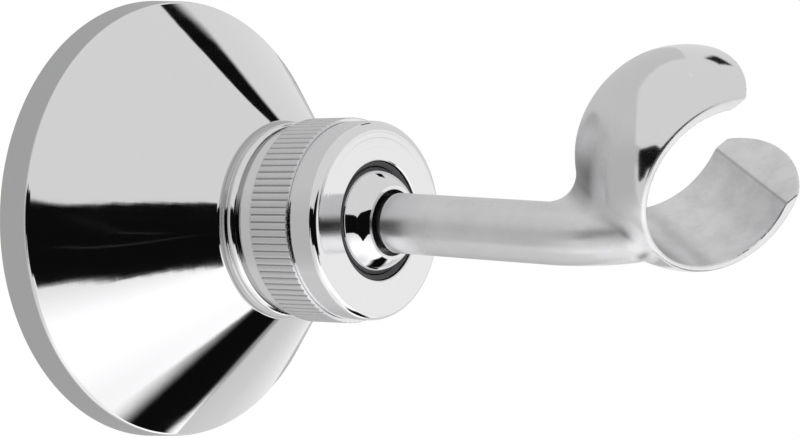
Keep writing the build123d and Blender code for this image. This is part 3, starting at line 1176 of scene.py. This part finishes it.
def rim_card(material):
    """A grey ring behind the rosette's rim, which gives the rim's side its even grey."""
    points = []
    faces = []
    angles = even_angles(AROUND)
    for radius in RIM_CARD_RADII:
        points.extend((radius * math.cos(t), RIM_CARD_PLACE, radius * math.sin(t)) for t in angles)
    for k in range(AROUND):
        m = (k + 1) % AROUND
        faces.append((k, m, AROUND + m, AROUND + k))
    count = len(points)
    place_card("rim_card", material, points, faces, [1.0] * count, [RIM_CARD_GLOW] * count)


def set_cards():
    """Light, grey and dark cards that give the chrome something to show, as in the photo's studio."""
    material = card_material()
    table = [(-235, -89, -29), (125, -89, -29)]
    ceiling = [(-235, 2, 89), (-36, 2, 89), (-20, 6, 89), (138, 6, 89)]
    side = [(84, -46, 12), (138, -46, 12)]
    left = [
        (-235, -70, 66), (-184, -70, 66), (-160, -70, 60), (-140, -70, 51), (-131, -70, 45),
        (-125, -70, 39), (-121, -70, 33), (-118, -70, 26), (-115, -70, 12), (-108, -70, 9),
        (-92, -70, 9),
    ]
    low_left = [
        (-168, -75, -40), (-130, -75, -38), (-121, -75, -20), (-116, -75, -3), (-108, -75, -4),
        (-96, -75, -9), (-60, -75, -26),
    ]
    room = [
        (-115.5, -23, -20), (-113, -22, -11), (-111.5, -21, -4), (-110.5, -20, 7), (-109, -20, 8),
        (-107, -18, 8.5), (-104, -14, 9.5), (-101, -11, 10.5), (-97, -11, 12), (-93, -24, 13),
        (-88, -29, 10), (-62, -28, 9), (-57, -29.5, 7), (-55, -30.5, 4), (-53.7, -31, 6),
        (-52, -31.5, 8.5), (-50.8, -32.5, 10.5), (-49, -35, 13), (-47, -36, 14.5), (-43.5, -40, 16),
        (-41, -43.5, 17), (-38, -44, 18), (-30, -30, 21), (-20, -26, 20), (-8, -24, 14),
    ]
    low = [(46, -75, -42), (101, -75, -42)]
    long_glint = [(-54.7, -14.4), (-53.7, -15.9), (-52, -16.6), (-50.8, -15.7), (-49.4, -14)]
    short_glint = [(-55, 1), (-54.4, -3), (-53.8, -5.7), (-52.8, -9.8), (-51, -11.8)]
    high = [(84.5, 51, 62), (90, 50.5, 61.5), (98, 49, 61.5), (106, 47, 61)]
    table_glow = [(-84, 0.95), (-72, 1.2), (-60, 1.35), (-50, 1.35), (-36, 1.03), (-29, 0.9)]
    left_glow = [
        (-70, 0.8), (-62, 0.75), (-50, 0.69), (-42, 0.65), (-34, 0.58), (-26, 0.55), (0, 0.55),
        (28, 0.64),
    ]
    low_left_glow = [(-60, 1.1), (-54, 0.95), (-48, 0.85), (-42, 0.79), (-30, 0.74)]
    studio_card("table_card", material, table, 1.3, table_glow, (0, 0, 0, 0))
    studio_card("ceiling_card", material, ceiling, 1.2, [(0, 0.79)], (0, 6, 0, 0))
    studio_card("side_card", material, side, 1.1, [(0, 0.70)], (11, 38, 0, 0))
    studio_card("left_card", material, left, 1.0, left_glow, (0, 1, 0, 1))
    studio_card("low_left_card", material, low_left, 0.95, low_left_glow, (35, 30, 0, 7))
    studio_card("room_card", material, room, 0.8, BLACK, (0.5, 14, 1.5, 1.5))
    studio_card("low_card", material, low, 0.85, BLACK, (10, 4, 9, 7))
    studio_card("high_card", material, high, 0.6, BLACK, (1.5, 5, 3, 1))
    for name, line in (("long_glint", long_glint), ("short_glint", short_glint)):
        strip = [(azimuth, elevation - GLINT_HALF, elevation + GLINT_HALF) for azimuth, elevation in line]
        studio_card(name, material, strip, GLINT_DISTANCE, GLINT, [GLINT_HALF] * 4)
    rim_card(material)


def set_floor():
    """A plain pale floor, white to the camera, with the object's shadow on it, and clear from below."""
    half = FLOOR_SIZE / 2
    mesh = bpy.data.meshes.new("floor")
    corners = [(-half, -half), (half, -half), (half, half), (-half, half)]
    mesh.from_pydata([(x, y, FLOOR_HEIGHT) for x, y in corners], [], [(0, 1, 2, 3)])
    material = blank_material("floor")
    paint = node_link(material, "ShaderNodeBsdfDiffuse", Color=FLOOR_PAINT)
    lift = node_link(material, "ShaderNodeEmission", Strength=FLOOR_LIFT)
    lifted = node_link(material, "ShaderNodeAddShader")
    material.node_tree.links.new(paint.outputs[0], lifted.inputs[0])
    material.node_tree.links.new(lift.outputs[0], lifted.inputs[1])
    seen = background_ray(material.node_tree)
    from_above = mixed_shader(material, seen, paint.outputs[0], lifted.outputs[0])
    below = node_link(material, "ShaderNodeNewGeometry").outputs["Backfacing"]
    clear = node_link(material, "ShaderNodeBsdfTransparent")
    set_output(material, mixed_shader(material, below, from_above, clear.outputs[0]))
    mesh.materials.append(material)
    floor = bpy.data.objects.new("floor", mesh)
    bpy.context.scene.collection.objects.link(floor)
    floor.visible_glossy = False


def set_lamp(name, place, size, power):
    """A soft square lamp aimed at the object, which the chrome doesn't show."""
    data = bpy.data.lights.new(name, "AREA")
    data.size = size
    data.energy = power
    lamp = bpy.data.objects.new(name, data)
    bpy.context.scene.collection.objects.link(lamp)
    lamp.location = place
    lamp.rotation_euler = (CARD_CENTRE - Vector(place)).to_track_quat("-Z", "Y").to_euler()
    lamp.visible_glossy = False


def dress():
    """Makes the pieces, gives each its material and body, hides the CAD nodes they replace, and dresses the
    CAD nodes that stay.
    """
    plate = chrome_material("chrome_plate", PLATE, PLATE_POLISH, PLATE_WAVE, PLATE_TURNING, None, PAINTED_SHADE)
    turned = chrome_material("chrome_nut", PLATE, NUT_POLISH, NUT_WAVE, NUT_TURNING, KNURL_SHADE)
    ball = chrome_material("chrome_ball", PLATE, PLATE_POLISH, BALL_WAVE, None, PLATE, DEEP_PAINTED_SHADE)
    casting = chrome_material("chrome_casting", CASTING, CASTING_POLISH, CASTING_WAVE, None, BORE, PAINTED_SHADE)
    dark = plastic_material("dark_plastic", DARK_PLASTIC, rough=0.45)
    nylon = plastic_material("nylon", NYLON, rough=0.5)
    rubber = plastic_material("rubber", RUBBER, rough=0.7)
    pieces = [
        (make_rosette(), "base", "wall_rosette", "chrome_plate", plate),
        (make_nut(), "nut", "clamp_nut", "chrome_plate", turned),
        (make_ball(), "ball", "swivel_ball", "chrome_plate", ball),
        (make_arm(), "arm", "holder_arm", "chrome_casting", casting),
        (make_bearing_ring(), "ring", "bearing_ring", "dark_plastic", dark),
    ]
    for piece, body, node, slot, material in pieces:
        wear(piece, material)
        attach(piece, body)
        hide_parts(node)
    wear(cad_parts["seat_cup"], nylon)
    wear(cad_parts["cushion_ring"], rubber)


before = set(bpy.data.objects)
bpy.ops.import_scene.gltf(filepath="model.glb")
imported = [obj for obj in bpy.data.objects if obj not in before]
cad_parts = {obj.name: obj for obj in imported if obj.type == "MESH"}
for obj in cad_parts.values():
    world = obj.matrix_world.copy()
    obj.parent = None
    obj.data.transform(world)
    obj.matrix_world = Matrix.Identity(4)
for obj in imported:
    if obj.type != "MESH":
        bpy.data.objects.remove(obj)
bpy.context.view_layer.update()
bpy.context.scene.view_settings.view_transform = "Standard"
set_camera()
set_world()
set_floor()
set_cards()
set_lamp("key_lamp", LAMP_PLACE, LAMP_SIZE, LAMP_POWER)
dress()
